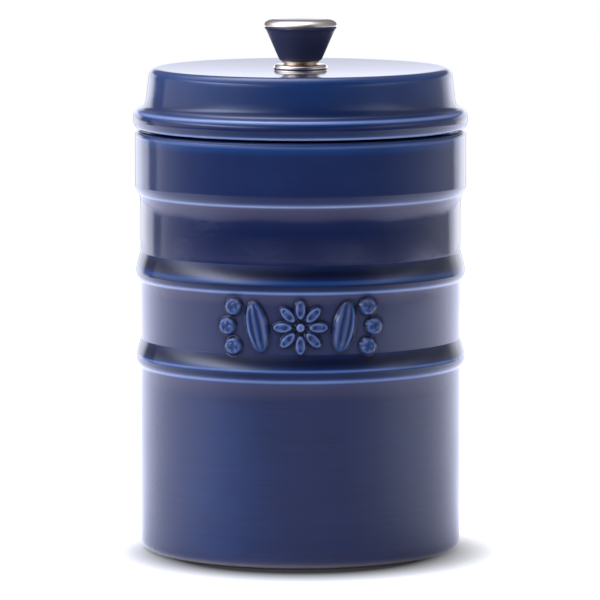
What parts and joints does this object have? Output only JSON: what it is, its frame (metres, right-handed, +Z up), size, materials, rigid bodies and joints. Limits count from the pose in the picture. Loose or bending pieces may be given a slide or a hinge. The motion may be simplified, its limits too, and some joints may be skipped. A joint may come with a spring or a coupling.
{
  "type": "spice jar",
  "caption": "Cylindrical glazed stoneware spice jar with raised ribs, a collared mouth, a spice-motif relief and a lift-off lid with a sealing ring and a capped cone knob.",
  "frame": {"origin": "centre of the foot's underside, on the surface that the jar stands on", "axes": "+Z up along the jar's axis, the relief faces -Y, +X to the right seen from the front"},
  "size_m": [0.1046, 0.1046, 0.1665],
  "materials": {
    "navy_glaze": "glossy dark blue glaze over pale stoneware, bare on the foot ring",
    "seal_silicone": "milky translucent silicone",
    "gasket_rubber": "matt black",
    "polished_nickel": "polished, warm nickel tone",
    "knob_enamel": "satin gloss dark blue enamel",
    "insert_brass": "turned",
    "fastener_steel": "bright zinc"
  },
  "bodies": {
    "jar": {"jar_body": "navy_glaze"},
    "seal": {"lid_seal": "seal_silicone"},
    "lid": {"lid_shell": "navy_glaze", "base_gasket": "gasket_rubber", "knob_base": "polished_nickel", "knob_cone": "knob_enamel", "knob_cap": "polished_nickel", "knob_insert": "insert_brass", "screw_gasket": "gasket_rubber", "screw_washer": "fastener_steel", "knob_screw": "fastener_steel"}
  },
  "joints": [
    {"name": "lid_lift", "type": "slide", "parent": "jar", "child": "seal", "axis": [0, 0, 1], "range_m": [0, 0.08]},
    {"name": "lid_turn", "type": "hinge", "parent": "seal", "child": "lid", "pos_m": [0, 0, 0.1313], "axis": [0, 0, 1], "continuous": true}
  ]
}
